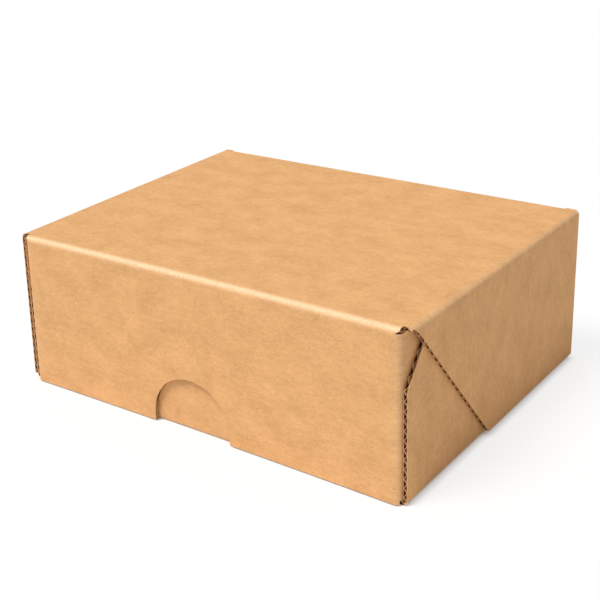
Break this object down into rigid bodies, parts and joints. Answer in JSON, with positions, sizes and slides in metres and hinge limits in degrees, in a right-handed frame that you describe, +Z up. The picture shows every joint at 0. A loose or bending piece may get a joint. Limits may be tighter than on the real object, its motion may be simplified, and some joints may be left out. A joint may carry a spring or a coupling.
{
  "type": "cardboard box",
  "caption": "Flat rectangular mailing box of corrugated board with a hinged lid, two side flaps, a front cover with a half-round thumb notch, and ears that tuck in.",
  "frame": {"origin": "centre of the box's outline at the plane that it stands on", "axes": "+Z up, -Y out of the front cover with the thumb notch, +X to the right seen from the front, along the longest side"},
  "size_m": [0.32, 0.24, 0.116],
  "materials": {
    "kraft_board": "matt brown kraft liner on corrugated board"
  },
  "bodies": {
    "tray": {"tray": "kraft_board"},
    "lid": {"lid_panel": "kraft_board"},
    "cover": {"front_cover": "kraft_board"},
    "right_flap": {"right_flap": "kraft_board"},
    "left_flap": {"left_flap": "kraft_board"}
  },
  "joints": [
    {"name": "lid_hinge", "type": "hinge", "parent": "tray", "child": "lid", "pos_m": [0, 0.11889, 0.11489], "axis": [-1, 0, 0], "range_deg": [0, 170]},
    {"name": "cover_hinge", "type": "hinge", "parent": "lid", "child": "cover", "pos_m": [0, -0.11889, 0.11489], "axis": [-1, 0, 0], "range_deg": [0, 90]},
    {"name": "right_flap_hinge", "type": "hinge", "parent": "lid", "child": "right_flap", "pos_m": [0.15889, 0, 0.11489], "axis": [0, -1, 0], "range_deg": [0, 90]},
    {"name": "left_flap_hinge", "type": "hinge", "parent": "lid", "child": "left_flap", "pos_m": [-0.15889, 0, 0.11489], "axis": [0, 1, 0], "range_deg": [0, 90]}
  ]
}
